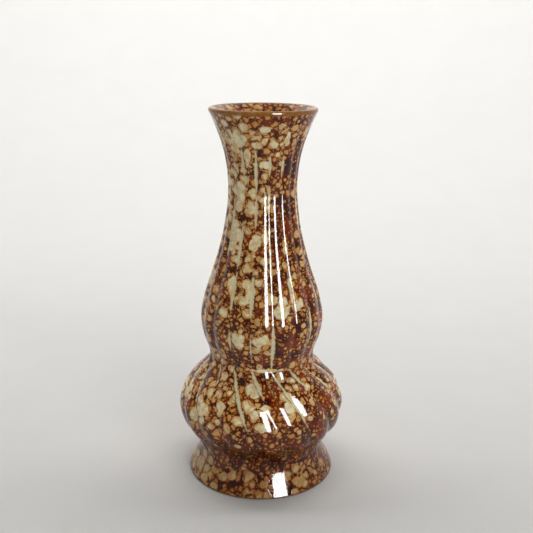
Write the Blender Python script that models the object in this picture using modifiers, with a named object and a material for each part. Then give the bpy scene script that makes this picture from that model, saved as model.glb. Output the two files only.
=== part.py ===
"""Gadrooned double-gourd bud vase, glazed stoneware, standing on its foot ring.

Units are metres, +Z is up, and the origin is the centre of the foot on the surface it stands on.
-Y is the front. The vase is built up from the clay sections that are luted together with slip,
under one exterior coat of glaze and one interior lining. Every section is a turned shape whose
outer side is then pressed into flutes: upright above the waist, swirling below it.
"""
import bisect
import math

import bmesh
import bpy

# --- driving dimensions ---------------------------------------------------------------------
HEIGHT = 0.160
FOOT_RADIUS = 0.0324
CREASE_HEIGHT = 0.0130          # where the foot meets the lower bulb
CREASE_RADIUS = 0.0274
LOWER_BULB_RADIUS = 0.0361
WAIST_HEIGHT = 0.0540
WAIST_RADIUS = 0.0225
UPPER_BULB_RADIUS = 0.0263
NECK_RADIUS = 0.01435
RIM_RADIUS = 0.0224             # widest point of the mouth, on the rounded edge of the lip
LIP_EDGE_ROUND = 0.0010
LIP_FLARE = math.radians(25)    # slant of the wall where it runs into the lip
LIP_BEVEL = math.radians(30)    # slope of the lip down into the mouth

GLAZE = 0.0005                  # thickness of a coat of glaze
GAP = 0.0003                    # clearance between touching pieces
CLAY_WALL = 0.0028
SLIP = 0.0006                   # thickness of a ring of luting slip

FLUTES = 17
COLUMNS_PER_FLUTE = 4
FLUTE_DEPTH = 0.04              # depth of a groove as a share of the radius
FIRST_GROOVE = math.radians(-79.1)
SWIRL_ANGLE = math.radians(24)  # slant of the grooves on the lower bulb, from the upright
FLUTE_FOOT_FADE = 0.0030        # height over which the flutes rise out of the foot crease
FLUTE_TOP_START = 0.146         # above this height the flutes fade out towards the lip
FLUTE_TOP_END = 0.156

GLAZE_EDGE_HEIGHT = 0.0004      # bare clay below the exterior coat
LIP_LINE = 0.154                # inside the mouth, where the exterior coat ends
STANDING_RING_INNER = 0.0283
FOOT_EDGE_ROUND = 0.0008
RECESS_RADIUS = 0.0238          # hollow of the foot under the base disc
FOOT_RING_TOP = 0.0087
BASE_DISC_BOTTOM = FOOT_RING_TOP + SLIP + 2 * GAP
BASE_DISC_TOP = 0.0126
LOWER_BULB_BOTTOM = BASE_DISC_TOP + SLIP + 2 * GAP
NECK_JOINT_HEIGHT = 0.1035
FLOOR_FLAT_RADIUS = 0.0185      # the flat of the floor inside, before it curves up into the wall
FLOOR_CURVE_HEIGHT = 0.0020

# Depths of the layers below the surface of the exterior glaze.
CLAY_OUTSIDE = GLAZE + GAP
CLAY_INSIDE = CLAY_OUTSIDE + CLAY_WALL
LINING_OUTSIDE = CLAY_INSIDE + GAP
LINING_INSIDE = LINING_OUTSIDE + GLAZE
FLUTED_DEPTH = LINING_INSIDE / 2    # surfaces deeper than this stay smooth
LIP_CENTRE = (RIM_RADIUS - LIP_EDGE_ROUND, HEIGHT - LIP_EDGE_ROUND)

# Outer silhouette of the glazed vase as (radius, height), one smooth stretch to a list. The
# stretches meet in the two creases.
FOOT_CURVE = [
    (FOOT_RADIUS, 0.0),
    (0.0302, 0.0050),
    (0.0281, 0.0090),
    (CREASE_RADIUS, CREASE_HEIGHT),
]
LOWER_BULB_CURVE = [
    (CREASE_RADIUS, CREASE_HEIGHT),
    (0.0297, 0.0180),
    (0.0340, 0.0236),
    (LOWER_BULB_RADIUS, 0.0316),
    (0.0337, 0.0400),
    (0.0281, 0.0468),
    (0.0238, 0.0510),
    (WAIST_RADIUS, WAIST_HEIGHT),
]
UPPER_CURVE = [
    (WAIST_RADIUS, WAIST_HEIGHT),
    (0.0230, 0.0572),
    (0.0252, 0.0636),
    (UPPER_BULB_RADIUS, 0.0718),
    (0.0246, 0.0815),
    (0.0196, 0.0970),
    (0.0159, 0.1120),
    (NECK_RADIUS, 0.1280),
    (0.0160, 0.1420),
    (0.0201, 0.1540),
    (
        LIP_CENTRE[0] + LIP_EDGE_ROUND * math.cos(LIP_FLARE),
        LIP_CENTRE[1] - LIP_EDGE_ROUND * math.sin(LIP_FLARE),
    ),
]
MOUTH_CURVE = [                 # the foot of the bevel and the turn into the inner wall
    (0.0183, 0.1584),
    (0.0169, 0.1571),
    (0.0159, 0.1556),
]
FOOT_ROWS = 3
LOWER_BULB_ROWS = 10
UPPER_ROWS = 13                 # odd, so that every second row leaves the last one at the lip
LIP_ROWS = 4
SHARP_EDGE = math.radians(40)
MERGE_DISTANCE = 0.00001

CLAY = ("stoneware_clay", (0.62, 0.50, 0.38), 0.85)
LUTING_SLIP = ("luting_slip", (0.55, 0.44, 0.33), 0.90)
BROWN_GLAZE = ("brown_glaze", (0.36, 0.16, 0.06), 0.12)
LINING_GLAZE = ("lining_glaze", (0.28, 0.12, 0.05), 0.15)


# --- outlines -------------------------------------------------------------------------------
def smooth_curve(knots, rows):
    """Points of a smooth curve through the knots, evenly spaced in its parameter."""
    lengths = [math.sqrt(math.dist(a, b)) for a, b in zip(knots, knots[1:])]
    times = [sum(lengths[:i]) for i in range(len(knots))]

    def velocity(i):
        return [(knots[i + 1][c] - knots[i][c]) / lengths[i] for c in (0, 1)]

    tangents = [None] * len(knots)
    for i in range(1, len(knots) - 1):
        before = lengths[i] / (lengths[i - 1] + lengths[i])
        tangents[i] = [
            before * a + (1 - before) * b for a, b in zip(velocity(i - 1), velocity(i))
        ]
    tangents[0] = [1.5 * v - 0.5 * t for v, t in zip(velocity(0), tangents[1])]
    tangents[-1] = [1.5 * v - 0.5 * t for v, t in zip(velocity(len(knots) - 2), tangents[-2])]

    points = []
    for row in range(rows + 1):
        time = times[-1] * row / rows
        i = min(bisect.bisect_right(times, time) - 1, len(knots) - 2)
        t = (time - times[i]) / lengths[i]
        points.append(tuple(
            (1 + 2 * t) * (1 - t) ** 2 * knots[i][c]
            + t * (1 - t) ** 2 * lengths[i] * tangents[i][c]
            + t * t * (3 - 2 * t) * knots[i + 1][c]
            + t * t * (t - 1) * lengths[i] * tangents[i + 1][c]
            for c in (0, 1)
        ))
    return points


def outward_normal(a, b):
    """Unit normal of the line from a up to b, on the side away from the axis."""
    length = math.dist(a, b)
    return ((b[1] - a[1]) / length, (a[0] - b[0]) / length)


def inset(points, depth):
    """The outline moved inwards by the depth, so that each straight run keeps its distance."""
    normals = [outward_normal(a, b) for a, b in zip(points, points[1:])]
    moved = []
    for i, (r, z) in enumerate(points):
        below = normals[max(i - 1, 0)]
        above = normals[min(i, len(normals) - 1)]
        mitre = depth / (1 + below[0] * above[0] + below[1] * above[1])
        moved.append((r - mitre * (below[0] + above[0]), z - mitre * (below[1] + above[1])))
    return moved


def radius_at(points, height):
    """Radius of a rising outline at a height."""
    i = bisect.bisect_right([z for _, z in points], height)
    i = min(max(i, 1), len(points) - 1)
    (r0, z0), (r1, z1) = points[i - 1], points[i]
    return r0 + (r1 - r0) * (height - z0) / (z1 - z0)


def stretch(points, low, high):
    """The part of a rising outline between two heights, with a point at each end."""
    middle = [p for p in points if low + GAP < p[1] < high - GAP]
    return [(radius_at(points, low), low), *middle, (radius_at(points, high), high)]


foot = smooth_curve(FOOT_CURVE, FOOT_ROWS)
lower_bulb = smooth_curve(LOWER_BULB_CURVE, LOWER_BULB_ROWS)
upper = smooth_curve(UPPER_CURVE, UPPER_ROWS)
OUTSIDE = foot + lower_bulb[1:] + upper[1:]
BODY = lower_bulb[::2] + upper[2:-1:2] + upper[-1:]     # coarser, for the smooth inner surfaces


def lip_edge():
    """The rounded edge of the lip, from the outer side to the start of the bevel."""
    turn = math.pi / 2 + LIP_BEVEL + LIP_FLARE
    angles = [turn * (i + 1) / LIP_ROWS - LIP_FLARE for i in range(LIP_ROWS)]
    return [
        (LIP_CENTRE[0] + LIP_EDGE_ROUND * math.cos(a), LIP_CENTRE[1] + LIP_EDGE_ROUND * math.sin(a))
        for a in angles
    ]


INSIDE = stretch(inset(BODY, LINING_INSIDE), LOWER_BULB_BOTTOM, LIP_LINE)
LIP = lip_edge()


def wall(depth_outside, depth_inside, low, high):
    """Closed outline of a wall section between two heights, upwards outside, down inside."""
    outer = stretch(inset(OUTSIDE, depth_outside), low, high)
    inner = stretch(inset(BODY, depth_inside), low, high)
    return outer + inner[::-1]


def over_lip(depth, low_outside, low_inside):
    """A line at a depth below the glaze: up the outside, over the lip and down the inside."""
    line = inset([*OUTSIDE, *LIP, *MOUTH_CURVE, *INSIDE[::-1]], depth)
    outside = line[:len(OUTSIDE)]
    edge = line[len(OUTSIDE):len(OUTSIDE) + len(LIP)]
    inside = line[:len(OUTSIDE) + len(LIP) - 1:-1]
    return [
        *stretch(outside, low_outside, outside[-1][1]),
        *edge,
        *stretch(inside, low_inside, inside[-1][1])[::-1],
    ]


# --- flutes ---------------------------------------------------------------------------------
def swirl_table():
    """Turn of the grooves against height, for a constant slant on the lower bulb's surface."""
    table = [(0.0, WAIST_HEIGHT)]
    for above, below in zip(lower_bulb[::-1], lower_bulb[-2::-1]):
        step = math.dist(above, below) * 2 / (above[0] + below[0])
        table.append((table[-1][0] + math.tan(SWIRL_ANGLE) * step, below[1]))
    return table[::-1]


SWIRL = swirl_table()


def swirl(height):
    """How far round the grooves have turned at a height."""
    if height >= WAIST_HEIGHT:
        return 0.0
    return radius_at(SWIRL, max(height, CREASE_HEIGHT))


def ease(value):
    """Smooth step from 0 to 1."""
    value = min(max(value, 0.0), 1.0)
    return value * value * (3 - 2 * value)


def flute_strength(height):
    """1 on the body, fading to 0 in the foot crease and under the lip."""
    rise = ease((height - CREASE_HEIGHT) / FLUTE_FOOT_FADE)
    fade = ease((FLUTE_TOP_END - height) / (FLUTE_TOP_END - FLUTE_TOP_START))
    return rise * fade


def press_flutes(mesh):
    """Turn every row by the swirl, and press the grooves into the outer surfaces.

    A groove is a narrow valley between two lobes, where the sine that shapes them passes zero.
    """
    smooth_side = inset(OUTSIDE, FLUTED_DEPTH)
    for vertex in mesh.vertices:
        x, y, z = vertex.co
        radius = math.hypot(x, y)
        around = math.atan2(y, x)
        if radius > radius_at(smooth_side, z):
            groove = 1 - abs(math.sin(FLUTES * around / 2))
            radius *= 1 - FLUTE_DEPTH * flute_strength(z) * groove
        around += FIRST_GROOVE + swirl(z)
        vertex.co = (radius * math.cos(around), radius * math.sin(around), z)


# --- solids ---------------------------------------------------------------------------------
def make_material(name, colour, roughness):
    material = bpy.data.materials.new(name)
    material.use_nodes = True
    shader = material.node_tree.nodes["Principled BSDF"]
    shader.inputs["Base Color"].default_value = (*colour, 1)
    shader.inputs["Roughness"].default_value = roughness
    shader.inputs["Metallic"].default_value = 0
    material.diffuse_color = (*colour, 1)
    return material


def turned(name, outline, material, closed=True):
    """A body turned from an outline that runs up the outside and down the inside.

    An outline that isn't closed starts and ends on the axis.
    """
    outline = outline[::-1]
    mesh = bpy.data.meshes.new(name)
    edges = [(i, i + 1) for i in range(len(outline) - 1)]
    if closed:
        edges.append((len(outline) - 1, 0))
    mesh.from_pydata([(r, 0, z) for r, z in outline], edges, [])
    blank = bpy.data.objects.new(name + "_profile", mesh)
    bpy.context.scene.collection.objects.link(blank)
    screw = blank.modifiers.new("turn", "SCREW")
    screw.angle = 2 * math.pi
    screw.steps = screw.render_steps = FLUTES * COLUMNS_PER_FLUTE
    screw.use_merge_vertices = True
    screw.merge_threshold = MERGE_DISTANCE
    evaluated = blank.evaluated_get(bpy.context.evaluated_depsgraph_get())
    solid = bpy.data.meshes.new_from_object(evaluated)
    bpy.data.objects.remove(blank)
    bpy.data.meshes.remove(mesh)

    press_flutes(solid)
    cage = bmesh.new()
    cage.from_mesh(solid)
    bmesh.ops.triangulate(cage, faces=cage.faces[:], quad_method="SHORT_EDGE")
    bmesh.ops.recalc_face_normals(cage, faces=cage.faces[:])
    cage.to_mesh(solid)
    cage.free()
    solid.name = name
    solid.shade_smooth()
    solid.set_sharp_from_angle(angle=SHARP_EDGE)
    solid.materials.append(material)
    item = bpy.data.objects.new(name, solid)
    parts.objects.link(item)
    item.parent = stand


def slip_ring(name, low, material):
    """The thin ring of slip that lutes two sections, one gap above and below it."""
    turned(name, wall(CLAY_OUTSIDE, CLAY_INSIDE, low, low + SLIP), material)


def foot_ring_outline():
    """Flared foot: a flat standing ring, a rounded outer edge and a hollow underneath."""
    side = stretch(inset(OUTSIDE, CLAY_OUTSIDE), FOOT_EDGE_ROUND, FOOT_RING_TOP)
    edge = radius_at(inset(OUTSIDE, CLAY_OUTSIDE), 0.0) - FOOT_EDGE_ROUND
    return [
        (STANDING_RING_INNER, 0),
        (edge, 0),
        *side,
        (RECESS_RADIUS, FOOT_RING_TOP),
        ((STANDING_RING_INNER + RECESS_RADIUS) / 2, FOOT_RING_TOP / 2 + FOOT_EDGE_ROUND),
    ]


def base_disc_outline():
    """Plain disc as wide as the foot's top, closed on the axis."""
    side = stretch(inset(OUTSIDE, CLAY_OUTSIDE), BASE_DISC_BOTTOM, BASE_DISC_TOP)
    return [(0, BASE_DISC_BOTTOM), *side, (0, BASE_DISC_TOP)]


def exterior_glaze_outline():
    """Coat over the whole outside and the lip, down to the line just inside the mouth."""
    surface = over_lip(0, GLAZE_EDGE_HEIGHT, LIP_LINE)
    return surface + over_lip(GLAZE, GLAZE_EDGE_HEIGHT, LIP_LINE)[::-1]


def lining_side(depth, floor):
    """One side of the lining: from the axis along the floor, then up the wall."""
    side = stretch(inset(BODY, depth), floor + FLOOR_CURVE_HEIGHT, LIP_LINE - GAP)
    return [
        (0, floor),
        (FLOOR_FLAT_RADIUS, floor),
        ((FLOOR_FLAT_RADIUS + side[0][0]) / 2 + GLAZE, floor + GLAZE),
        *side,
    ]


def interior_glaze_outline():
    """Lining from the mouth down to a closed floor."""
    floor = BASE_DISC_TOP + GAP
    return lining_side(LINING_OUTSIDE, floor) + lining_side(LINING_INSIDE, floor + GLAZE)[::-1]


# --- assembly -------------------------------------------------------------------------------
for old in list(bpy.data.objects):
    bpy.data.objects.remove(old)

parts = bpy.data.collections.new("bud_vase")
bpy.context.scene.collection.children.link(parts)
stand = bpy.data.objects.new("vase_origin", None)
parts.objects.link(stand)

clay = make_material(*CLAY)
slip = make_material(*LUTING_SLIP)

turned("foot_ring", foot_ring_outline(), clay)
slip_ring("foot_slip", FOOT_RING_TOP + GAP, slip)
turned("base_disc", base_disc_outline(), clay, closed=False)
slip_ring("base_slip", BASE_DISC_TOP + GAP, slip)
turned("lower_bulb", wall(CLAY_OUTSIDE, CLAY_INSIDE, LOWER_BULB_BOTTOM,
                          WAIST_HEIGHT - SLIP / 2 - GAP), clay)
slip_ring("waist_slip", WAIST_HEIGHT - SLIP / 2, slip)
turned("upper_bulb", wall(CLAY_OUTSIDE, CLAY_INSIDE, WAIST_HEIGHT + SLIP / 2 + GAP,
                          NECK_JOINT_HEIGHT - 2 * GAP - SLIP), clay)
slip_ring("neck_slip", NECK_JOINT_HEIGHT - GAP - SLIP, slip)
turned("neck", over_lip(CLAY_OUTSIDE, NECK_JOINT_HEIGHT, NECK_JOINT_HEIGHT), clay)
turned("exterior_glaze", exterior_glaze_outline(), make_material(*BROWN_GLAZE))
turned("interior_glaze", interior_glaze_outline(), make_material(*LINING_GLAZE), closed=False)
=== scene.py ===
"""The looks of the glazed bud vase: fine fluted surfaces, mottled glaze, clay, camera and light.

Metres, +Z up, the origin at the centre of the foot. -Y is the front. An angle round the vase is
counted from the front towards +X, the viewer's right.
"""
import math

import bmesh
import bpy
import numpy as np
from mathutils import Matrix, Vector, noise


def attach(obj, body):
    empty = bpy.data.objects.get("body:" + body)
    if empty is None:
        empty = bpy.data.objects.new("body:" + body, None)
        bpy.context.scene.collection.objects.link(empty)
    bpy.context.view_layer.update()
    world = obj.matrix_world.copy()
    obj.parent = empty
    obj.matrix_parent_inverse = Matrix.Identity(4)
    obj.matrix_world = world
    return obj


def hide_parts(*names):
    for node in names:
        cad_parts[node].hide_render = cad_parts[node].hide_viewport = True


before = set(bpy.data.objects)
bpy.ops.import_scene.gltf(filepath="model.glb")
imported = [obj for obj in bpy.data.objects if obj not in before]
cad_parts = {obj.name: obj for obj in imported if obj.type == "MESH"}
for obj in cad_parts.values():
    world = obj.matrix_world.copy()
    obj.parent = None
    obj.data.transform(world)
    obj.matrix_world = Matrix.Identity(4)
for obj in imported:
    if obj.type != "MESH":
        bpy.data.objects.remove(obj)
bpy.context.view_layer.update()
MM = 0.001

# --- form: the outline and the flutes of the CAD model ------------------------------------------
HEIGHT = 160 * MM
WALL = 4.4 * MM
GLAZE = 0.5 * MM
CREASE_HEIGHT = 13 * MM
WAIST_HEIGHT = 54 * MM
FLOOR_HEIGHT = 13.4 * MM
FLOOR_FLAT_RADIUS = 18.5 * MM
LIP_EDGE_ROUND = 1.0 * MM
LIP_FLARE = math.radians(25)
LIP_BEVEL = math.radians(30)
LIP_CENTRE = np.array((22.4 * MM - LIP_EDGE_ROUND, HEIGHT - LIP_EDGE_ROUND))
LIP_LINE = 154 * MM
MOUTH_CURVE = [(18.3, 158.4), (16.9, 157.1), (15.9, 155.6)]
GLAZE_EDGE_HEIGHT = 0.4 * MM
FOOT_CURVE = [(32.4, 0), (30.2, 5), (28.1, 9), (27.4, 13)]
LOWER_BULB_CURVE = [
    (27.4, 13), (29.7, 18), (34, 23.6), (36.1, 31.6), (33.7, 40), (28.1, 46.8), (23.8, 51),
    (22.5, 54),
]
UPPER_CURVE = [
    (22.5, 54), (23, 57.2), (25.2, 63.6), (26.3, 71.8), (24.6, 81.5), (19.6, 97), (15.9, 112),
    (14.35, 128), (16, 142), (20.1, 154),
]
FLUTES = 17
FLUTE_DEPTH = 0.04
FIRST_GROOVE = math.radians(10.9)
SWIRL_ANGLE = math.radians(24)
FLUTE_FOOT_FADE = 3 * MM
FLUTE_TOP_START = 146 * MM
FLUTE_TOP_END = 156 * MM
VALLEY_ROUNDING = 0.12          # how far the bottom of a groove is filled, 0 for a sharp line
WAIST_ROUNDING = 0.8 * MM       # glaze gathers in the creases and softens them
CREASE_ROUNDING = 0.3 * MM
WOBBLE = 0.10 * MM              # unevenness of a surface shaped by hand
WOBBLE_LENGTH = 16 * MM

FOOT_POINTS = 200               # points computed on each smooth curve
LOWER_BULB_POINTS = 600
UPPER_POINTS = 1200
LIP_POINTS = 32
COLUMNS = FLUTES * 16
FINE_STEP = 0.1 * MM
ROW_STEP = 0.9 * MM
FINE_ROW_STEP = 0.4 * MM


def smooth_curve(knots, rows):
    """Points of a smooth curve through the knots, evenly spaced in its parameter."""
    knots = np.array(knots, float)
    lengths = np.sqrt(np.linalg.norm(np.diff(knots, axis=0), axis=1))
    times = np.concatenate([[0], np.cumsum(lengths)])
    speed = np.diff(knots, axis=0) / lengths[:, None]
    share = (lengths[1:] / (lengths[:-1] + lengths[1:]))[:, None]
    inner = share * speed[:-1] + (1 - share) * speed[1:]
    first = 1.5 * speed[0] - 0.5 * inner[0]
    last = 1.5 * speed[-1] - 0.5 * inner[-1]
    tangents = np.vstack([first, inner, last])
    time = np.linspace(0, times[-1], rows + 1)
    i = np.clip(np.searchsorted(times, time, side="right") - 1, 0, len(knots) - 2)
    t = ((time - times[i]) / lengths[i])[:, None]
    span = lengths[i][:, None]
    return (
        (1 + 2 * t) * (1 - t) ** 2 * knots[i]
        + t * (1 - t) ** 2 * span * tangents[i]
        + t * t * (3 - 2 * t) * knots[i + 1]
        + t * t * (t - 1) * span * tangents[i + 1]
    )


def resample(points, distances):
    """Points at the given distances along a polyline."""
    along = np.concatenate([[0], np.cumsum(np.linalg.norm(np.diff(points, axis=0), axis=1))])
    return np.stack([np.interp(distances, along, points[:, c]) for c in (0, 1)], axis=1)


def length_of(points):
    return np.linalg.norm(np.diff(points, axis=0), axis=1).sum()


def evenly(points, step):
    """The polyline resampled with an even step."""
    total = length_of(points)
    return resample(points, np.linspace(0, total, int(round(total / step)) + 1))


def rounded(points, radius):
    """The polyline with its corners softened over about a radius."""
    even = evenly(points, FINE_STEP)
    reach = int(3 * radius / FINE_STEP)
    weight = np.exp(-0.5 * (np.arange(-reach, reach + 1) * FINE_STEP / radius) ** 2)
    weight /= weight.sum()
    padded = np.vstack([
        2 * even[0] - even[reach:0:-1],
        even,
        2 * even[-1] - even[-2:-reach - 2:-1],
    ])
    return np.stack([np.convolve(padded[:, c], weight, "valid") for c in (0, 1)], axis=1)


def normals(points):
    """Unit normals of a path that runs up the outside, pointing out of the clay."""
    run = np.gradient(points, axis=0)
    run /= np.linalg.norm(run, axis=1)[:, None]
    return np.stack([run[:, 1], -run[:, 0]], axis=1)


def inset(points, depth):
    return points - normals(points) * np.asarray(depth).reshape(-1, 1)


def arc(centre, radius, start, end, rows):
    """Points round a centre between two angles."""
    angles = np.linspace(start, end, rows)
    return centre + radius * np.stack([np.cos(angles), np.sin(angles)], axis=1)


def between(points, low, high):
    """The part of a path between two heights."""
    return points[(points[:, 1] >= low) & (points[:, 1] <= high)]


lip_edge = arc(LIP_CENTRE, LIP_EDGE_ROUND, -LIP_FLARE, math.pi / 2 + LIP_BEVEL, LIP_POINTS)
foot_side = smooth_curve(FOOT_CURVE, FOOT_POINTS) * MM
lower_side = smooth_curve(LOWER_BULB_CURVE, LOWER_BULB_POINTS) * MM
upper_side = smooth_curve([*UPPER_CURVE, tuple(lip_edge[0] / MM)], UPPER_POINTS) * MM
body_side = rounded(np.vstack([lower_side, upper_side[1:]]), WAIST_ROUNDING)
inner_side = between(inset(body_side, WALL), FLOOR_HEIGHT, LIP_LINE)[::-1]
OUTSIDE = np.vstack([foot_side, body_side[1:], lip_edge[1:]])
INSIDE = np.vstack([np.array(MOUTH_CURVE) * MM, inner_side])
SURFACE = rounded(np.vstack([OUTSIDE, INSIDE]), CREASE_ROUNDING)
RIM = int(np.argmax(SURFACE[:, 1]))


# --- flutes ---------------------------------------------------------------------------------------
def swirl_table():
    """Heights and turns of the grooves, which keep one slant over the lower bulb."""
    down = lower_side[::-1]
    steps = np.linalg.norm(np.diff(down, axis=0), axis=1) / ((down[1:, 0] + down[:-1, 0]) / 2)
    turns = np.concatenate([[0], np.cumsum(steps)]) * math.tan(SWIRL_ANGLE)
    return down[::-1, 1], turns[::-1]


SWIRL_HEIGHTS, SWIRL_TURNS = swirl_table()


def swirl(height):
    return np.interp(height, SWIRL_HEIGHTS, SWIRL_TURNS)


def ease(value):
    value = np.clip(value, 0, 1)
    return value * value * (3 - 2 * value)


def flute_strength(height):
    """1 on the body, fading to 0 in the foot crease and under the lip."""
    rise = ease((height - CREASE_HEIGHT) / FLUTE_FOOT_FADE)
    fade = ease((FLUTE_TOP_END - height) / (FLUTE_TOP_END - FLUTE_TOP_START))
    return rise * fade


def place(radius, height, phase, fluted):
    """Coordinates of a point whose phase counts flutes round the vase from the first groove."""
    turn = math.pi * phase
    lobe = np.sqrt(np.sin(turn) ** 2 + VALLEY_ROUNDING ** 2 * np.cos(turn) ** 2)
    radius = radius * (1 - FLUTE_DEPTH * flute_strength(height) * (1 - lobe) * fluted)
    angle = phase * 2 * math.pi / FLUTES + FIRST_GROOVE + swirl(height)
    return np.stack([radius * np.sin(angle), -radius * np.cos(angle), height], axis=-1)


# --- meshes ---------------------------------------------------------------------------------------
def rows_along(points, fine_zones):
    """Rows of a mesh along a path, closer together in the zones, which are heights and reaches."""
    total = length_of(points)
    dense = evenly(points, FINE_STEP)
    near = np.zeros(len(dense), bool)
    for height, reach in fine_zones:
        near |= np.abs(dense[:, 1] - height) < reach
    density = np.where(near, 1 / FINE_ROW_STEP, 1 / ROW_STEP)
    count = np.concatenate([[0], np.cumsum((density[1:] + density[:-1]) / 2 * FINE_STEP)])
    wanted = np.linspace(0, count[-1], int(count[-1]) + 1)
    distances = np.interp(wanted, count, np.linspace(0, total, len(dense)))
    return resample(points, distances)


def revolved(name, path, columns, fluted, closed):
    """A mesh turned from a path. An open path starts and ends on the axis."""
    phases = np.arange(columns) * FLUTES / columns
    rows = len(path)
    radius = np.repeat(path[:, 0], columns).reshape(rows, columns)
    height = np.repeat(path[:, 1], columns).reshape(rows, columns)
    phase = np.tile(phases, rows).reshape(rows, columns)
    points = place(radius, height, phase, fluted)
    first, last = (0, rows) if closed else (1, rows - 1)
    vertices = points[first:last].reshape(-1, 3).tolist()
    count = last - first
    faces = []
    for row in range(count if closed else count - 1):
        here, above = row * columns, (row + 1) % count * columns
        for c in range(columns):
            d = (c + 1) % columns
            faces.append((here + c, here + d, above + d, above + c))
    if not closed:
        bottom, top = len(vertices), len(vertices) + 1
        vertices += [points[0, 0].tolist(), points[-1, 0].tolist()]
        for c in range(columns):
            d = (c + 1) % columns
            faces.append((bottom, d, c))
            faces.append((top, (count - 1) * columns + c, (count - 1) * columns + d))
    mesh = bpy.data.meshes.new(name)
    mesh.from_pydata(vertices, [], faces)
    mesh.validate()
    skin = bmesh.new()
    skin.from_mesh(mesh)
    bmesh.ops.recalc_face_normals(skin, faces=skin.faces[:])
    skin.to_mesh(mesh)
    skin.free()
    mesh.shade_smooth()
    piece = bpy.data.objects.new(name, mesh)
    bpy.context.scene.collection.objects.link(piece)
    return piece


def coordinates(mesh):
    co = np.zeros(len(mesh.vertices) * 3)
    mesh.vertices.foreach_get("co", co)
    return co.reshape(-1, 3)


def wobble(mesh):
    """Push the surface in and out a little, as in a form finished by hand."""
    co = coordinates(mesh)
    push = np.array([noise.noise(Vector(p) / WOBBLE_LENGTH) for p in co]) * WOBBLE
    away = co * (1, 1, 0)
    reach = np.linalg.norm(away, axis=1)
    co += away / np.maximum(reach, MM)[:, None] * push[:, None]
    mesh.vertices.foreach_set("co", co.ravel())


def add_attribute(mesh, name, values):
    attribute = mesh.attributes.new(name, "FLOAT", "POINT")
    attribute.data.foreach_set("value", np.asarray(values, np.float32))


# --- the pieces of glaze --------------------------------------------------------------------------
FEATHER = 0.02 * MM             # the exterior coat thins out to this over the top of the lining
LINING_DEPTH = 0.03 * MM
OVERLAP = 1.5 * MM
FLOOR_TURN = 2.5 * MM
FLOOR_ROUNDING = 1.2 * MM
FINE_ZONES = [
    (CREASE_HEIGHT, 2 * MM), (WAIST_HEIGHT, 2.5 * MM), (HEIGHT, 4.5 * MM), (0, 1.5 * MM),
]


def make_coat():
    """The exterior coat: a thin closed shell up the outside, over the lip and into the mouth."""
    start = int(np.argmax(SURFACE[:, 1] >= GLAZE_EDGE_HEIGHT))
    stop = RIM + int(np.argmax(SURFACE[RIM:, 1] <= LIP_LINE))
    front = rows_along(SURFACE[start:stop], FINE_ZONES)
    inside = np.arange(len(SURFACE)) > RIM
    thinning = inside * ease((LIP_LINE + 2 * OVERLAP - SURFACE[:, 1]) / OVERLAP)
    behind = inset(SURFACE, GLAZE + (FEATHER - GLAZE) * thinning)[start:stop]
    path = np.vstack([front, evenly(behind, 3 * ROW_STEP)[::-1]])
    return revolved("glaze_coat", path, COLUMNS, 1, closed=True)


def lining_side(depth, floor):
    """From the axis along the floor and up the wall, to just behind the coat's inner edge."""
    wall = between(inset(SURFACE, depth)[RIM:][::-1], floor + FLOOR_TURN, LIP_LINE + OVERLAP)
    corner = np.vstack([[(0, floor), (FLOOR_FLAT_RADIUS, floor)], wall])
    return rounded(corner, FLOOR_ROUNDING)


def make_lining():
    """The watertight lining: a thin closed shell from the mouth down to the floor."""
    behind = rows_along(lining_side(GLAZE, FLOOR_HEIGHT - GLAZE), [])
    front = rows_along(lining_side(LINING_DEPTH, FLOOR_HEIGHT), [])
    behind[0, 0] = front[0, 0] = 0
    path = np.vstack([behind, front[::-1]])
    return revolved("glaze_lining", path, COLUMNS // 2, 0, closed=False)


# --- where the glaze pools and thins --------------------------------------------------------------
# Broad pale pools: angle in degrees, height, half width and half height in mm.
POOLS = [
    (-22, 69, 4.2, 5.5), (2, 68, 5.0, 5.5), (18, 82, 6.0, 6.0), (40, 82, 2.6, 3.6),
    (-4, 48, 5.0, 3.5), (-27, 41, 6.0, 3.2), (-2, 41, 6.5, 3.0), (22, 42, 3.6, 4.0),
    (-45, 38, 4.0, 7.0), (2, 34, 2.4, 3.0), (-16, 25.5, 3.6, 1.8), (44, 46, 2.2, 3.5),
    (52, 5, 1.6, 1.6), (-62, 7, 3.0, 4.0), (-52, 3, 2.5, 2.5), (-35, 6.5, 2.2, 2.0),
    (-34, 148, 5.5, 4.5), (-22, 142, 2.4, 5.5), (4, 139, 3.4, 2.0), (23, 143, 2.0, 2.0),
    (4, 153, 4.5, 1.0), (33, 149, 1.6, 4.0), (5, 122, 2.6, 3.0), (-18, 121, 1.8, 3.0),
    (-38, 126, 3.6, 8.0), (-42, 108, 3.6, 9.0), (-10, 106, 3.0, 6.0), (5, 109, 2.2, 5.0),
    (-12, 88, 3.0, 4.0), (33, 104, 2.0, 2.6), (-35, 90, 3.4, 5.0), (8, 54.3, 12.0, 0.9),
]
# Brown stretches where the cells stay small: the same four numbers.
BROWN = [
    (0, 22, 40, 7.5), (22, 67, 6.0, 7.5), (45, 30, 9.0, 5.0), (52, 138, 5.0, 12.0),
    (14, 104, 3.4, 7.0), (-24, 4.5, 8.0, 2.6), (-23, 58, 6.0, 3.0), (38, 60, 8.0, 4.0),
    (8, 47, 5.0, 4.0), (-12, 136, 1.8, 5.0), (45, 118, 5.0, 9.0), (-30, 117, 3.0, 2.0),
    (16, 92, 4.0, 4.0),
]
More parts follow.
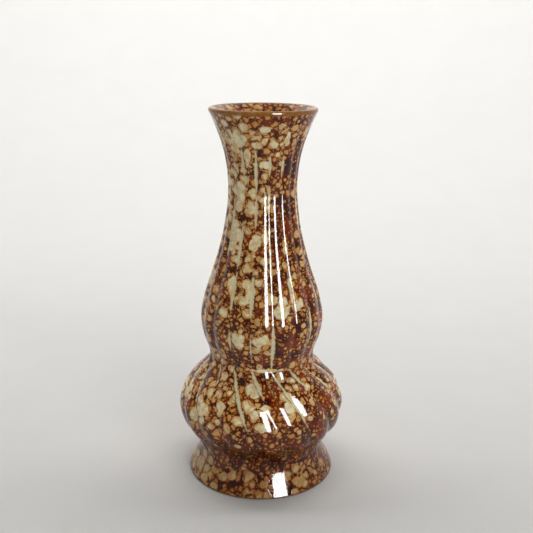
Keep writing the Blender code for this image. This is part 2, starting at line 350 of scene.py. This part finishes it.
# Pale streaks run together in the grooves: groove, low and high end and half width in mm.
STREAKS = [
    (-1, 126, 145, 0.75), (-1, 112, 126, 0.85), (-1, 77, 96, 0.95), (-1, 60, 70, 0.5),
    (0, 134, 143, 0.7), (0, 121, 130, 0.6), (0, 54, 76, 0.9), (0, 88, 118, 0.45),
    (1, 133, 142, 0.65), (1, 80, 97, 0.8), (-2, 132, 146, 0.7), (-2, 96, 116, 0.9),
    (-2, 79, 95, 0.9), (-2, 62, 72, 0.8), (-2, 32, 55, 0.8), (-1, 44, 55, 0.8),
    (0, 31, 54, 0.8), (1, 46, 54, 0.8), (-3, 100, 125, 0.8), (-3, 46, 54, 0.4),
    (2, 64, 80, 0.7), (2, 40, 52, 0.6),
]
BACK_SEED = 7                   # the scatter on the sides and back, in degrees and mm
BACK_POOLS = 46
BACK_ANGLES = (65, 300)
BACK_HEIGHTS = (3, 156)
BACK_POOL_SIZES = (1.8, 5.0)
BACK_POOL_STRETCH = (0.7, 1.6)  # height of a pool as a share of its width
BACK_GROOVES = (3, FLUTES - 3)
BACK_STREAKS = 22
BACK_STREAK_LOWS = (58, 130)
BACK_STREAK_LENGTHS = (8, 24)
BACK_STREAK_WIDTHS = (0.5, 0.9)
BULB_STREAK_LOWS = (30, 44)
BULB_STREAK_HIGH = 55
BULB_STREAK_WIDTHS = (0.4, 0.85)
POOL_FALLOFF = 1.1
STREAK_BLUNTNESS = 2.5          # how suddenly a streak narrows at its ends
NO_STREAK = -1 * MM

# How pale the glaze is: around 0 is brown with small cells, around 1 is a cream pool.
FIELD_LENGTH = 15 * MM          # size of the paler and browner stretches
CREAM_LEVEL = 0.40
CREAM_DRIFT = 0.30
CREAM_AND_REFLECTION_SIDEWAYS = 0.09           # paler towards the viewer's left: partly the glaze's own pools, partly painted reflection of the pale surround
CREAM_FOOT = 0.17
CREAM_FOOT_FADE = 3 * MM
CREAM_NECK = 0.06
CREAM_NECK_START = 115 * MM
CREAM_NECK_FADE = 15 * MM
POOL_STRENGTH = 1.15
BROWN_STRENGTH = 0.6

MOUTH_DEPTH = 1.5 * MM          # further in than this behind the outside is inside the mouth
MOUTH_STREAK_LOSS = 4 * MM      # enough to leave no streak there
LIP_EDGE_REACH = 1.35 * MM      # from the middle of the lip's round edge
LIP_EDGE_FADE = 0.4 * MM
FOOT_EDGE_HEIGHT = 1.3 * MM
FOOT_EDGE_FADE = 0.8 * MM
PAINTED_SHADE_HEIGHT = 38 * MM            # below this the colour is darkened, as painted shade
PAINTED_SHADE_FADE = 20 * MM
SHADE_ABOVE = 0.25              # strength of the painted shade beside a streak
SHADE_BELOW = 0.5               # added to it below the waist
SHADE_FADE = 2 * MM


def spot_field(spots, angle, height, radius):
    """Greatest closeness to any of the spots, 1 at a centre and about 0 well outside it."""
    field = np.zeros(len(angle))
    for degrees, level, half_width, half_height in spots:
        turn = (angle - math.radians(degrees) + math.pi) % (2 * math.pi) - math.pi
        across = turn * radius / (half_width * MM)
        up = (height - level * MM) / (half_height * MM)
        field = np.maximum(field, np.exp(-POOL_FALLOFF * (across ** 2 + up ** 2)))
    return field


def streak_field(streaks, groove, height):
    """Half width of the pale streak in a groove at a height, below 0 where there is none."""
    field = np.full(len(height), NO_STREAK)
    for index, low, high, half_width in streaks:
        middle, reach = (low + high) / 2 * MM, (high - low) / 2 * MM
        share = np.abs((height - middle) / reach)
        width = half_width * MM * (1 - share ** STREAK_BLUNTNESS)
        here = (groove - index) % FLUTES == 0
        field = np.where(here, np.maximum(field, np.maximum(width, NO_STREAK)), field)
    return field


def spots_behind():
    """Pools and streaks for the sides and back, scattered with a fixed seed."""
    chance = np.random.default_rng(BACK_SEED)
    pools, streaks = [], []
    for _ in range(BACK_POOLS):
        size = chance.uniform(*BACK_POOL_SIZES)
        pools.append((
            chance.uniform(*BACK_ANGLES), chance.uniform(*BACK_HEIGHTS), size,
            size * chance.uniform(*BACK_POOL_STRETCH),
        ))
    for _ in range(BACK_STREAKS):
        low = chance.uniform(*BACK_STREAK_LOWS)
        streaks.append((
            chance.integers(*BACK_GROOVES), low, low + chance.uniform(*BACK_STREAK_LENGTHS),
            chance.uniform(*BACK_STREAK_WIDTHS),
        ))
    for groove in range(*BACK_GROOVES):
        streaks.append((
            groove, chance.uniform(*BULB_STREAK_LOWS), BULB_STREAK_HIGH,
            chance.uniform(*BULB_STREAK_WIDTHS),
        ))
    return pools, streaks


def paint_fields(piece):
    """Attributes that tell the glaze where it is: in a groove, in a pool, or on an edge."""
    mesh = piece.data
    co = coordinates(mesh)
    angle = np.arctan2(co[:, 0], -co[:, 1])
    height = co[:, 2]
    radius = np.maximum(np.hypot(co[:, 0], co[:, 1]), MM)
    phase = (angle - FIRST_GROOVE - swirl(height)) * FLUTES / (2 * math.pi)
    groove = np.round(phase)
    slant = np.where(height < WAIST_HEIGHT, math.cos(SWIRL_ANGLE), 1)
    aside = (phase - groove) * 2 * math.pi / FLUTES * radius * slant
    back_pools, back_streaks = spots_behind()
    drift = np.array([noise.fractal(Vector(p) / FIELD_LENGTH, 1.0, 2.0, 3) for p in co])
    # the sideways term is partly painted reflection: paler towards the viewer's left
    cream = CREAM_LEVEL + CREAM_DRIFT * drift + CREAM_AND_REFLECTION_SIDEWAYS * np.sin(-angle)
    at_foot = ease((CREASE_HEIGHT - height) / CREAM_FOOT_FADE)
    up_neck = ease((height - CREAM_NECK_START) / CREAM_NECK_FADE)
    cream += CREAM_FOOT * at_foot + CREAM_NECK * up_neck
    pools = spot_field(POOLS + back_pools, angle, height, radius)
    cream = np.maximum(cream, POOL_STRENGTH * pools)
    cream -= BROWN_STRENGTH * spot_field(BROWN, angle, height, radius)

    inward = radius < np.interp(height, OUTSIDE[:, 1], OUTSIDE[:, 0]) - MOUTH_DEPTH
    streak = streak_field(STREAKS + back_streaks, groove, height) - MOUTH_STREAK_LOSS * inward
    from_lip = np.hypot(radius - LIP_CENTRE[0], height - LIP_CENTRE[1])
    lip_edge_part = ease((LIP_EDGE_REACH - from_lip) / LIP_EDGE_FADE)
    foot_edge_part = ease((FOOT_EDGE_HEIGHT - height) / FOOT_EDGE_FADE)
    below_waist = ease((WAIST_HEIGHT - height) / SHADE_FADE)
    add_attribute(mesh, "aside", aside)
    add_attribute(mesh, "streak", streak)
    add_attribute(mesh, "cream", cream)
    # painted shade: the run field darkens the colour towards the foot and inside the mouth
    add_attribute(mesh, "run", np.maximum(ease((PAINTED_SHADE_HEIGHT - height) / PAINTED_SHADE_FADE), inward))
    add_attribute(mesh, "shade", SHADE_ABOVE + SHADE_BELOW * below_waist)
    add_attribute(mesh, "edge", np.maximum(lip_edge_part, foot_edge_part))


# --- shader helpers -------------------------------------------------------------------------------
def linear(code):
    """A colour written as #rrggbb, as the renderer's linear values."""
    values = [int(code[i:i + 2], 16) / 255 for i in (1, 3, 5)]
    return tuple(v / 12.92 if v <= 0.04045 else ((v + 0.055) / 1.055) ** 2.4 for v in values) + (1,)


class Shading:
    """A material's node tree with short ways to add to it."""

    def __init__(self, name):
        self.material = bpy.data.materials.new(name)
        self.material.use_nodes = True
        self.tree = self.material.node_tree
        self.surface = self.tree.nodes["Principled BSDF"]

    def node(self, kind, inputs, **settings):
        made = self.tree.nodes.new("ShaderNode" + kind)
        for key, value in settings.items():
            setattr(made, key, value)
        for key, value in inputs.items():
            if isinstance(value, bpy.types.NodeSocket):
                self.tree.links.new(value, made.inputs[key])
            else:
                made.inputs[key].default_value = value
        return made

    def math(self, operation, *values):
        return self.node("Math", dict(enumerate(values)), operation=operation).outputs[0]

    def vector(self, operation, *values):
        return self.node("VectorMath", dict(enumerate(values)), operation=operation).outputs[0]

    def step(self, value, low, high, start=0.0, end=1.0):
        """Smooth step of a value from low to high."""
        inputs = {"Value": value, "From Min": low, "From Max": high, "To Min": start, "To Max": end}
        return self.node("MapRange", inputs, interpolation_type="SMOOTHSTEP").outputs[0]

    def mix(self, factor, first, second, blend="MIX"):
        inputs = {0: factor, 6: first, 7: second}
        made = self.node("Mix", inputs, data_type="RGBA", blend_type=blend)
        return made.outputs[2]

    def millimetres(self):
        """The point being shaded, in the object's own frame."""
        point = self.node("TexCoord", {}).outputs["Object"]
        return self.vector("MULTIPLY", point, (1000, 1000, 1000))

    def attribute(self, name):
        return self.node("Attribute", {}, attribute_name=name).outputs["Fac"]

    def noise(self, point, size, detail=2.0, kind="Fac"):
        inputs = {"Vector": point, "Scale": 1 / size, "Detail": detail}
        return self.node("TexNoise", inputs).outputs[kind]

    def set(self, key, value):
        if isinstance(value, bpy.types.NodeSocket):
            self.tree.links.new(value, self.surface.inputs[key])
        else:
            self.surface.inputs[key].default_value = value


# --- glaze ----------------------------------------------------------------------------------------
NET = linear("#3e1205")
NET_THIN = linear("#782d09")
AMBER = linear("#a96018")
HONEY = linear("#c68e40")
TAN = linear("#d0a15e")
BUFF = linear("#d5b680")
CREAM = linear("#e4ddb8")
POOL = linear("#dadbb8")
SHADE = linear("#454a2e")
# tint of the painted shade towards the foot and inside the mouth
PAINTED_SHADE_TINT = linear("#cdb9a2")
RIM_BROWN = linear("#6a3a12")
RIM_HONEY = linear("#a8722c")
SPECK_SPACING = 1.6             # spacing of the three sizes of cell, in mm
SMALL_SPACING = 2.6
MIDDLING_SPACING = 4.5
CELL_BLEND = 0.12               # rounds a cell where two of its borders meet
WARP = 1.6                      # how far the cells are pushed out of shape, in mm
GLAZE_IOR = 1.43
GLAZE_RELIEF = 0.03 * MM


def cell_layer(s, point, spacing, net_width, radius, spread):
    """One size of cell. Returns how far inside a cell a point is, and the cell's own chance."""
    shifted = s.vector("ADD", point, (spacing * 7, spacing * 3, spacing * 5))
    inputs = {"Vector": shifted, "Scale": 1 / spacing}
    near = s.node("TexVoronoi", inputs)
    edge = s.node("TexVoronoi", inputs, feature="DISTANCE_TO_EDGE")
    chance = s.node("SeparateColor", {"Color": near.outputs["Color"]})
    size = s.math("MULTIPLY_ADD", s.math("SUBTRACT", chance.outputs[0], 0.5), spread, radius)
    body = s.math("SUBTRACT", size, near.outputs["Distance"])
    gap = s.math("SUBTRACT", edge.outputs["Distance"], net_width)
    inside = s.math("SMOOTH_MIN", body, gap, CELL_BLEND)
    return s.math("MULTIPLY", inside, spacing), chance.outputs[1]


def mottled_glaze(name, painted_shade):
    """Glossy brown glaze broken into rounded cells, pooling pale in the grooves."""
    s = Shading(name)
    place_mm = s.millimetres()
    ripple = s.vector("SUBTRACT", s.noise(place_mm, 2.2, 2.0, "Color"), (0.5, 0.5, 0.5))
    point = s.vector("ADD", place_mm, s.vector("MULTIPLY", ripple, (WARP, WARP, WARP)))
    drift = s.noise(place_mm, 7.0, 2.0)
    # painted shade: the copy for the inside lowers the cream, so its glaze comes out browner
    cream = s.math("SUBTRACT", s.attribute("cream"), painted_shade)

    # brown ground, thinner and redder in places, with specks of amber
    colour = s.mix(s.step(drift, 0.44, 0.66), NET, NET_THIN)
    inside, chance = cell_layer(s, point, SPECK_SPACING, 0.11, 0.45, 0.4)
    colour = s.mix(s.step(inside, 0.0, 0.2), colour, s.mix(chance, AMBER, HONEY))

    # small amber to tan cells, each with its dark rim
    radius = s.step(cream, -0.15, 0.5, 0.16, 0.56)
    inside, chance = cell_layer(s, point, SMALL_SPACING, 0.10, radius, 0.35)
    colour = s.mix(s.step(inside, -0.25, -0.05), colour, s.mix(drift, NET, NET_THIN))
    tint = s.mix(s.step(inside, 0.0, 0.35), AMBER, s.mix(chance, HONEY, TAN))
    fill = s.step(inside, -0.02, 0.08)
    colour = s.mix(fill, colour, tint)
    height = s.math("MULTIPLY", fill, 0.6)

    # middling tan to buff cells, larger where the glaze is creamier
    radius = s.step(cream, 0.05, 0.65, 0.06, 0.63)
    net_width = s.step(cream, 0.5, 0.9, 0.08, 0.03)
    inside, chance = cell_layer(s, point, MIDDLING_SPACING, net_width, radius, 0.45)
    colour = s.mix(s.step(inside, -0.3, -0.06), colour, s.mix(drift, NET, NET_THIN))
    tint = s.mix(s.step(inside, 0.0, 0.5), s.mix(chance, AMBER, TAN), s.mix(chance, TAN, BUFF))
    fill = s.step(inside, -0.03, 0.1)
    colour = s.mix(fill, colour, tint)
    height = s.math("MAXIMUM", height, s.math("MULTIPLY", fill, 0.8))
    lobes = s.math("MULTIPLY", inside, 0.34)

    # broad cream pools with a lobed outline
    ragged = s.math("MULTIPLY_ADD", s.noise(place_mm, 2.8, 2.0), 0.9, -0.49)
    pool = s.math("ADD", s.math("ADD", cream, lobes), ragged)
    colour = s.mix(s.step(pool, 0.52, 0.56), colour, s.mix(drift, NET_THIN, HONEY))
    vein = s.mix(s.step(inside, -0.1, 0.6), s.mix(drift, HONEY, BUFF), s.mix(chance, TAN, BUFF))
    colour = s.mix(s.step(pool, 0.545, 0.63), colour, vein)
    cloud = s.mix(s.step(s.noise(place_mm, 2.0, 3.0), 0.35, 0.6), BUFF, CREAM)
    cloud = s.mix(s.step(s.noise(place_mm, 0.9), 0.62, 0.75, 0.0, 0.4), cloud, TAN)
    colour = s.mix(s.step(pool, 0.60, 0.86), colour, cloud)
    height = s.math("MAXIMUM", height, s.step(pool, 0.52, 0.64))

    # pale streaks run together in the grooves, with a dark line of painted shade along one side
    aside = s.math("MULTIPLY", s.attribute("aside"), 1000.0)
    width = s.math("MULTIPLY", s.attribute("streak"), 1000.0)
    waver = s.math("MULTIPLY_ADD", s.noise(place_mm, 2.0, 3.0), 1.6, -0.8)
    reach = s.math("SUBTRACT", s.math("ADD", width, waver), s.math("ABSOLUTE", aside))
    shifted = s.math("ABSOLUTE", s.math("MULTIPLY_ADD", s.attribute("shade"), 0.8, aside))
    line = s.math("SUBTRACT", s.math("ADD", width, waver), shifted)
    patchy = s.step(s.noise(place_mm, 5.0), 0.4, 0.6, 0.3, 1.0)
    dark = s.math("MULTIPLY", s.step(line, -0.1, 0.5), s.attribute("shade"))
    dark = s.math("MULTIPLY", dark, patchy)
    colour = s.mix(dark, colour, SHADE)
    colour = s.mix(s.step(reach, -0.2, 0.5), colour, s.mix(s.noise(place_mm, 4.0), BUFF, POOL))

    # the glaze runs thin and amber over the lip and along the foot
    edge = s.math("MULTIPLY", s.attribute("edge"), s.step(drift, 0.2, 0.5, 0.75, 1.0))
    colour = s.mix(edge, colour, s.mix(s.noise(place_mm, 2.0, 2.0), RIM_BROWN, RIM_HONEY))

    # painted shade: the colour is darkened towards the foot and inside the mouth
    colour = s.mix(s.attribute("run"), colour, PAINTED_SHADE_TINT, "MULTIPLY")

    relief = s.node("Bump", {"Height": height, "Distance": GLAZE_RELIEF, "Strength": 0.6})
    s.set("Base Color", colour)
    s.set("Roughness", s.step(s.noise(place_mm, 6.0), 0.3, 0.7, 0.03, 0.07))
    s.set("IOR", GLAZE_IOR)
    s.set("Normal", relief.outputs[0])
    return s.material


# --- clay -----------------------------------------------------------------------------------------
SPECK_MM = 1.7                  # spacing of the iron specks
CLAY_RELIEF = 0.1 * MM
CLAY_ROUGHNESS = 0.88


def stoneware(name, body, speck):
    """Bare fired clay with fine grog and a few iron specks."""
    s = Shading(name)
    place_mm = s.millimetres()
    grain = s.noise(place_mm, 0.5, 4.0)
    cloud = s.noise(place_mm, 9.0, 2.0)
    colour = s.mix(s.step(cloud, 0.3, 0.7), linear(body), s.mix(0.3, linear(body), linear(speck)))
    specks = s.node("TexVoronoi", {"Vector": place_mm, "Scale": 1 / SPECK_MM})
    colour = s.mix(s.step(specks.outputs["Distance"], 0.13, 0.08), colour, linear(speck))
    colour = s.mix(s.step(grain, 0.35, 0.65, 0.0, 0.3), colour, linear(speck))
    relief = s.node("Bump", {"Height": grain, "Distance": CLAY_RELIEF, "Strength": 0.5})
    s.set("Base Color", colour)
    s.set("Roughness", CLAY_ROUGHNESS)
    s.set("Normal", relief.outputs[0])
    return s.material


# --- build the object -----------------------------------------------------------------------------
# painted shade inside the vase: the lining's copy of the glaze is made browner
LINING_PAINTED_SHADE = 0.12

coat = make_coat()
lining = make_lining()
for piece in (coat, lining):
    wobble(piece.data)
    paint_fields(piece)
coat.data.materials.append(mottled_glaze("mottled_glaze", 0.0))
lining.data.materials.append(mottled_glaze("mottled_lining_glaze", LINING_PAINTED_SHADE))
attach(coat, "root")
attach(lining, "root")
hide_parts("exterior_glaze")
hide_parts("interior_glaze")

clay = stoneware("bare_stoneware", "#b29a7c", "#6a4a34")
slip = stoneware("fired_slip", "#a58d70", "#5e4432")
for name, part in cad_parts.items():
    if name.endswith("_glaze"):
        continue
    part.data.materials.clear()
    part.data.materials.append(slip if name.endswith("_slip") else clay)

# --- stage, camera and lights ---------------------------------------------------------------------
STAGE_MIDDLE = -0.8             # of the round floor, which turns up into a wall, on the Y axis
STAGE_FLOOR_RADIUS = 1.15
STAGE_CURVE_RADIUS = 0.5
STAGE_LEVEL_RING = 0.05         # keeps the shading level up to where the curve starts
STAGE_TOP = 1.6
STAGE_SIDES = 96
STAGE_CURVE_ROWS = 24
FLOOR_COLOUR = "#c4c3c1"
FLOOR_CLOUD_COLOUR = "#aeaca8"
FLOOR_CLOUD_SIZE = 30.0         # in mm
FLOOR_CLOUD_STRENGTH = 0.06
FLOOR_ROUGHNESS = 0.7
CAMERA_DISTANCE = 0.3263
CAMERA_HEIGHT = 0.1872
CAMERA_DOWN = math.radians(16.12)
CAMERA_YAW = math.radians(-0.33)
CAMERA_ROLL = math.radians(0.5)
CAMERA_LENS = 53.78
CAMERA_CLIP = 0.01
VASE_MIDDLE = (0, 0, HEIGHT / 2)
BACK_WALL = (0, 1.05, 0.473)
WORLD_DIM = 0.06                # at the front
WORLD_BRIGHT = 0.54             # at the back
WORLD_FADE = (-0.7, 0.3)
WORLD_COLOUR = (1, 0.99, 0.98, 1)


def floor_material():
    """A plain pale matt surface, very slightly clouded."""
    s = Shading("pale_floor")
    cloud = s.noise(s.millimetres(), FLOOR_CLOUD_SIZE, 3.0)
    cloud = s.step(cloud, 0.3, 0.7, 0.0, FLOOR_CLOUD_STRENGTH)
    s.set("Base Color", s.mix(cloud, linear(FLOOR_COLOUR), linear(FLOOR_CLOUD_COLOUR)))
    s.set("Roughness", FLOOR_ROUGHNESS)
    s.set("Specular IOR Level", 0.0)
    return s.material


def make_floor():
    """A round floor that curves up into a plain wall on all sides."""
    centre = np.array((STAGE_FLOOR_RADIUS, STAGE_CURVE_RADIUS))
    turn = arc(centre, STAGE_CURVE_RADIUS, -math.pi / 2, 0, STAGE_CURVE_ROWS)
    level = [(STAGE_FLOOR_RADIUS - STAGE_LEVEL_RING, 0)]
    profile = np.vstack([level, turn, [(STAGE_FLOOR_RADIUS + STAGE_CURVE_RADIUS, STAGE_TOP)]])
    angles = np.arange(STAGE_SIDES) * 2 * math.pi / STAGE_SIDES
    vertices = [
        (reach * math.cos(a), STAGE_MIDDLE + reach * math.sin(a), z)
        for reach, z in profile for a in angles
    ]
    faces = [list(range(STAGE_SIDES))]
    for ring in range(len(profile) - 1):
        for side in range(STAGE_SIDES):
            after = (side + 1) % STAGE_SIDES
            low, high = ring * STAGE_SIDES, (ring + 1) * STAGE_SIDES
            faces.append((low + side, low + after, high + after, high + side))
    mesh = bpy.data.meshes.new("floor")
    mesh.from_pydata(vertices, [], faces)
    mesh.shade_smooth()
    mesh.polygons[0].use_smooth = False
    made = bpy.data.objects.new("floor", mesh)
    bpy.context.scene.collection.objects.link(made)
    return made


floor = make_floor()
floor.data.materials.append(floor_material())

camera_data = bpy.data.cameras.new("camera")
camera_data.lens = CAMERA_LENS
camera_data.clip_start = CAMERA_CLIP
camera = bpy.data.objects.new("camera", camera_data)
bpy.context.scene.collection.objects.link(camera)
camera.matrix_world = (
    Matrix.Translation((0, -CAMERA_DISTANCE, CAMERA_HEIGHT))
    @ Matrix.Rotation(CAMERA_YAW, 4, "Z")
    @ Matrix.Rotation(math.pi / 2 - CAMERA_DOWN, 4, "X")
    @ Matrix.Rotation(CAMERA_ROLL, 4, "Z")
)
bpy.context.scene.camera = camera


def soft_light(name, position, target, size, power, glossy=True, diffuse=True):
    """A rectangular soft light that faces a target."""
    data = bpy.data.lights.new(name, "AREA")
    data.shape = "RECTANGLE"
    data.size, data.size_y = size
    data.energy = power
    light = bpy.data.objects.new(name, data)
    bpy.context.scene.collection.objects.link(light)
    light.location = position
    light.rotation_euler = (Vector(position) - Vector(target)).to_track_quat("Z", "Y").to_euler()
    light.visible_camera = False
    light.visible_glossy = glossy
    light.visible_diffuse = diffuse


def graded_world():
    """Even light from all round, dim at the front and brighter at the back."""
    world = bpy.data.worlds.new("studio")
    bpy.context.scene.world = world
    world.use_nodes = True
    tree = world.node_tree
    direction = tree.nodes.new("ShaderNodeTexCoord").outputs["Generated"]
    split = tree.nodes.new("ShaderNodeSeparateXYZ")
    tree.links.new(direction, split.inputs[0])
    fade = tree.nodes.new("ShaderNodeMapRange")
    fade.interpolation_type = "SMOOTHSTEP"
    fade.inputs["From Min"].default_value = WORLD_FADE[0]
    fade.inputs["From Max"].default_value = WORLD_FADE[1]
    fade.inputs["To Min"].default_value = WORLD_DIM
    fade.inputs["To Max"].default_value = WORLD_BRIGHT
    background = tree.nodes["Background"]
    tree.links.new(split.outputs["Y"], fade.inputs["Value"])
    tree.links.new(fade.outputs[0], background.inputs["Strength"])
    background.inputs["Color"].default_value = WORLD_COLOUR


# The window shows only in reflections, and the fill lights in its place and shows in none.
soft_light("window", (0.33, -0.58, 0.285), VASE_MIDDLE, (0.23, 0.59), 15, diffuse=False)
soft_light("window_fill", (0.68, -1.2, 0.72), VASE_MIDDLE, (0.8, 0.8), 9.8, glossy=False)
soft_light("backdrop_light", (0, 0.2, 1.0), BACK_WALL, (1.2, 0.5), 16.5, glossy=False)
graded_world()
bpy.context.scene.view_settings.view_transform = "Standard"
